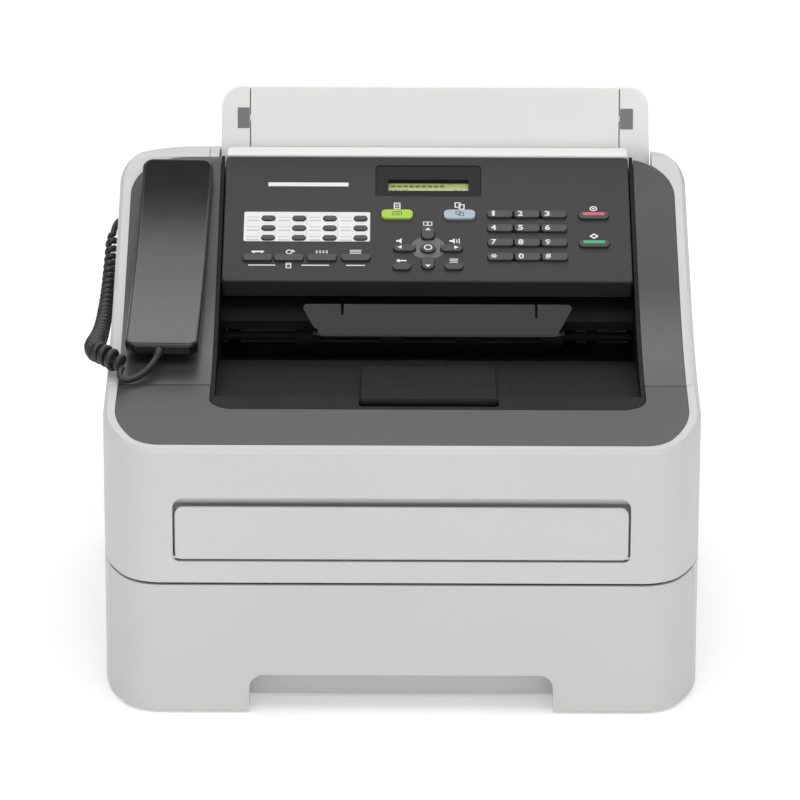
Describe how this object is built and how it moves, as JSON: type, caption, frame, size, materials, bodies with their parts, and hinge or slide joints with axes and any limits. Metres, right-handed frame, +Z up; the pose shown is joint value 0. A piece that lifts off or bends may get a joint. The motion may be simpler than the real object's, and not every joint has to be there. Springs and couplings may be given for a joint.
{
  "type": "fax machine",
  "caption": "Desktop laser fax machine with a sloping control panel, print bin, paper tray, document feeder and a corded handset on its left side.",
  "frame": {"origin": "centre of the footprint on the floor, cord left out", "axes": "+Z up, -Y out of the front, +X to the right seen from the front"},
  "size_m": [0.3857, 0.36, 0.2999],
  "materials": {
    "bezel_black": "gloss",
    "board_green": "solder mask",
    "cord_dark": "satin",
    "cover_white": "satin",
    "engine_black": "moulded",
    "frame_grey": "moulded",
    "handset_dark": "satin",
    "key_black": "satin",
    "key_blue": "satin",
    "key_lime": "satin",
    "lcd_green": "gloss",
    "panel_grey": "fine textured",
    "rubber": "matt",
    "sensor_glass": "gloss",
    "steel": "brushed",
    "support_white": "satin",
    "top_grey": "fine textured",
    "tray_white": "satin",
    "well_black": "fine textured"
  },
  "bodies": {
    "chassis": {"left_side_cover": "cover_white", "right_side_cover": "cover_white", "rear_panel": "cover_white", "top_cover_left": "top_grey", "top_cover_right": "top_grey", "output_well": "well_black", "base_frame": "frame_grey", "laser_scanner_unit": "engine_black", "drum_and_toner_unit": "engine_black", "fuser_unit": "engine_black", "circuit_boards": "board_green", "rubber_feet": "rubber", "adf_lower_frame": "well_black", "image_sensor": "sensor_glass", "document_support": "support_white", "handset_cord_coil": "cord_dark", "handset_cord_leads": "cord_dark"},
    "front_cover": {"front_cover": "cover_white", "front_top_panel": "top_grey"},
    "manual_feed_door": {"manual_feed_door": "cover_white"},
    "paper_tray": {"paper_tray": "tray_white"},
    "tray_lift_plate": {"tray_lift_plate": "steel"},
    "side_guide_left": {"side_guide_left": "frame_grey"},
    "side_guide_right": {"side_guide_right": "frame_grey"},
    "back_cover": {"back_cover": "cover_white"},
    "output_flap": {"output_flap": "well_black"},
    "document_output_flap": {"document_output_flap": "panel_grey"},
    "document_support_flap": {"document_support_flap": "support_white"},
    "control_cover": {"control_panel": "panel_grey", "panel_rear_bar": "support_white", "panel_lower_guide": "frame_grey", "lcd_bezel": "bezel_black", "lcd_display": "lcd_green"},
    "handset": {"handset_upper_shell": "handset_dark", "handset_lower_shell": "handset_dark"},
    "pickup_roller": {"pickup_roller": "rubber"},
    "exit_roller": {"exit_roller": "rubber"},
    "adf_feed_roller": {"adf_feed_roller": "rubber"},
    "dial_key_1": {"dial_key_1": "key_black"},
    "dial_key_2": {"dial_key_2": "key_black"},
    "dial_key_3": {"dial_key_3": "key_black"},
    "dial_key_4": {"dial_key_4": "key_black"},
    "dial_key_5": {"dial_key_5": "key_black"},
    "dial_key_6": {"dial_key_6": "key_black"},
    "dial_key_7": {"dial_key_7": "key_black"},
    "dial_key_8": {"dial_key_8": "key_black"},
    "dial_key_9": {"dial_key_9": "key_black"},
    "dial_key_star": {"dial_key_star": "key_black"},
    "dial_key_0": {"dial_key_0": "key_black"},
    "dial_key_hash": {"dial_key_hash": "key_black"},
    "stop_key": {"stop_key": "key_black"},
    "start_key": {"start_key": "key_black"},
    "fax_mode_key": {"fax_mode_key": "key_lime"},
    "copy_mode_key": {"copy_mode_key": "key_blue"},
    "ok_key": {"ok_key": "key_black"},
    "arrow_keys": {"arrow_keys": "key_black"},
    "clear_key": {"clear_key": "key_black"},
    "menu_key": {"menu_key": "key_black"},
    "function_keys": {"function_keys": "key_black"},
    "one_touch_keys": {"one_touch_keys": "key_black"}
  },
  "joints": [
    {"name": "front_cover_hinge", "type": "hinge", "parent": "chassis", "child": "front_cover", "pos_m": [0, -0.171, 0.1], "axis": [1, 0, 0], "range_deg": [0, 85]},
    {"name": "manual_feed_door_hinge", "type": "hinge", "parent": "front_cover", "child": "manual_feed_door", "pos_m": [0, -0.1783, 0.1039], "axis": [1, 0, 0], "range_deg": [0, 85]},
    {"name": "tray_slide", "type": "slide", "parent": "chassis", "child": "paper_tray", "axis": [0, -1, 0], "range_m": [0, 0.2]},
    {"name": "tray_lift_plate_hinge", "type": "hinge", "parent": "paper_tray", "child": "tray_lift_plate", "pos_m": [0, 0.026, 0.011], "axis": [-1, 0, 0], "range_deg": [0, 11]},
    {"name": "side_guide_left_slide", "type": "slide", "parent": "paper_tray", "child": "side_guide_left", "axis": [1, 0, 0], "range_m": [0, 0.034]},
    {"name": "side_guide_right_slide", "type": "slide", "parent": "paper_tray", "child": "side_guide_right", "axis": [-1, 0, 0], "range_m": [0, 0.034]},
    {"name": "back_cover_hinge", "type": "hinge", "parent": "chassis", "child": "back_cover", "pos_m": [0, 0.1781, 0.0952], "axis": [-1, 0, 0], "range_deg": [0, 75]},
    {"name": "output_flap_hinge", "type": "hinge", "parent": "chassis", "child": "output_flap", "pos_m": [0, -0.1006, 0.177], "axis": [1, 0, 0], "range_deg": [0, 140]},
    {"name": "document_output_flap_hinge", "type": "hinge", "parent": "chassis", "child": "document_output_flap", "pos_m": [0, 0.016, 0.1811], "axis": [1, 0, 0], "range_deg": [0, 135]},
    {"name": "document_support_flap_hinge", "type": "hinge", "parent": "chassis", "child": "document_support_flap", "pos_m": [0, 0.17232, 0.27888], "axis": [-1, 0, 0], "range_deg": [0, 70]},
    {"name": "control_cover_hinge", "type": "hinge", "parent": "chassis", "child": "control_cover", "pos_m": [0, 0.04472, 0.20693], "axis": [1, 0, 0], "range_deg": [0, 55]},
    {"name": "handset_lift", "type": "slide", "parent": "chassis", "child": "handset", "axis": [0, 0, 1], "range_m": [0, 0.08]},
    {"name": "pickup_roller_spin", "type": "hinge", "parent": "chassis", "child": "pickup_roller", "pos_m": [0, -0.108, 0.08], "axis": [1, 0, 0], "continuous": true},
    {"name": "exit_roller_spin", "type": "hinge", "parent": "chassis", "child": "exit_roller", "pos_m": [0, 0.074, 0.16], "axis": [1, 0, 0], "continuous": true},
    {"name": "adf_feed_roller_spin", "type": "hinge", "parent": "chassis", "child": "adf_feed_roller", "pos_m": [0, 0.09805, 0.2164], "axis": [1, 0, 0], "continuous": true},
    {"name": "dial_key_1_press", "type": "slide", "parent": "control_cover", "child": "dial_key_1", "axis": [0, 0.3746, -0.9272], "range_m": [0, 0.001], "stiffness_N_per_m": 60, "springref_m": -0.002},
    {"name": "dial_key_2_press", "type": "slide", "parent": "control_cover", "child": "dial_key_2", "axis": [0, 0.3746, -0.9272], "range_m": [0, 0.001], "stiffness_N_per_m": 60, "springref_m": -0.002},
    {"name": "dial_key_3_press", "type": "slide", "parent": "control_cover", "child": "dial_key_3", "axis": [0, 0.3746, -0.9272], "range_m": [0, 0.001], "stiffness_N_per_m": 60, "springref_m": -0.002},
    {"name": "dial_key_4_press", "type": "slide", "parent": "control_cover", "child": "dial_key_4", "axis": [0, 0.3746, -0.9272], "range_m": [0, 0.001], "stiffness_N_per_m": 60, "springref_m": -0.002},
    {"name": "dial_key_5_press", "type": "slide", "parent": "control_cover", "child": "dial_key_5", "axis": [0, 0.3746, -0.9272], "range_m": [0, 0.001], "stiffness_N_per_m": 60, "springref_m": -0.002},
    {"name": "dial_key_6_press", "type": "slide", "parent": "control_cover", "child": "dial_key_6", "axis": [0, 0.3746, -0.9272], "range_m": [0, 0.001], "stiffness_N_per_m": 60, "springref_m": -0.002},
    {"name": "dial_key_7_press", "type": "slide", "parent": "control_cover", "child": "dial_key_7", "axis": [0, 0.3746, -0.9272], "range_m": [0, 0.001], "stiffness_N_per_m": 60, "springref_m": -0.002},
    {"name": "dial_key_8_press", "type": "slide", "parent": "control_cover", "child": "dial_key_8", "axis": [0, 0.3746, -0.9272], "range_m": [0, 0.001], "stiffness_N_per_m": 60, "springref_m": -0.002},
    {"name": "dial_key_9_press", "type": "slide", "parent": "control_cover", "child": "dial_key_9", "axis": [0, 0.3746, -0.9272], "range_m": [0, 0.001], "stiffness_N_per_m": 60, "springref_m": -0.002},
    {"name": "dial_key_star_press", "type": "slide", "parent": "control_cover", "child": "dial_key_star", "axis": [0, 0.3746, -0.9272], "range_m": [0, 0.001], "stiffness_N_per_m": 60, "springref_m": -0.002},
    {"name": "dial_key_0_press", "type": "slide", "parent": "control_cover", "child": "dial_key_0", "axis": [0, 0.3746, -0.9272], "range_m": [0, 0.001], "stiffness_N_per_m": 60, "springref_m": -0.002},
    {"name": "dial_key_hash_press", "type": "slide", "parent": "control_cover", "child": "dial_key_hash", "axis": [0, 0.3746, -0.9272], "range_m": [0, 0.001], "stiffness_N_per_m": 60, "springref_m": -0.002},
    {"name": "stop_key_press", "type": "slide", "parent": "control_cover", "child": "stop_key", "axis": [0, 0.3746, -0.9272], "range_m": [0, 0.001], "stiffness_N_per_m": 60, "springref_m": -0.002},
    {"name": "start_key_press", "type": "slide", "parent": "control_cover", "child": "start_key", "axis": [0, 0.3746, -0.9272], "range_m": [0, 0.001], "stiffness_N_per_m": 60, "springref_m": -0.002},
    {"name": "fax_mode_key_press", "type": "slide", "parent": "control_cover", "child": "fax_mode_key", "axis": [0, 0.3746, -0.9272], "range_m": [0, 0.001], "stiffness_N_per_m": 60, "springref_m": -0.002},
    {"name": "copy_mode_key_press", "type": "slide", "parent": "control_cover", "child": "copy_mode_key", "axis": [0, 0.3746, -0.9272], "range_m": [0, 0.001], "stiffness_N_per_m": 60, "springref_m": -0.002},
    {"name": "ok_key_press", "type": "slide", "parent": "control_cover", "child": "ok_key", "axis": [0, 0.3746, -0.9272], "range_m": [0, 0.001], "stiffness_N_per_m": 60, "springref_m": -0.002},
    {"name": "arrow_keys_press", "type": "slide", "parent": "control_cover", "child": "arrow_keys", "axis": [0, 0.3746, -0.9272], "range_m": [0, 0.001], "stiffness_N_per_m": 60, "springref_m": -0.002},
    {"name": "clear_key_press", "type": "slide", "parent": "control_cover", "child": "clear_key", "axis": [0, 0.3746, -0.9272], "range_m": [0, 0.001], "stiffness_N_per_m": 60, "springref_m": -0.002},
    {"name": "menu_key_press", "type": "slide", "parent": "control_cover", "child": "menu_key", "axis": [0, 0.3746, -0.9272], "range_m": [0, 0.001], "stiffness_N_per_m": 60, "springref_m": -0.002},
    {"name": "function_keys_press", "type": "slide", "parent": "control_cover", "child": "function_keys", "axis": [0, 0.3746, -0.9272], "range_m": [0, 0.001], "stiffness_N_per_m": 60, "springref_m": -0.002},
    {"name": "one_touch_keys_press", "type": "slide", "parent": "control_cover", "child": "one_touch_keys", "axis": [0, 0.3746, -0.9272], "range_m": [0, 0.001], "stiffness_N_per_m": 60, "springref_m": -0.002}
  ],
  "couplings": [
    {"joint": "side_guide_right_slide", "follows": "side_guide_left_slide", "ratio": 1}
  ]
}
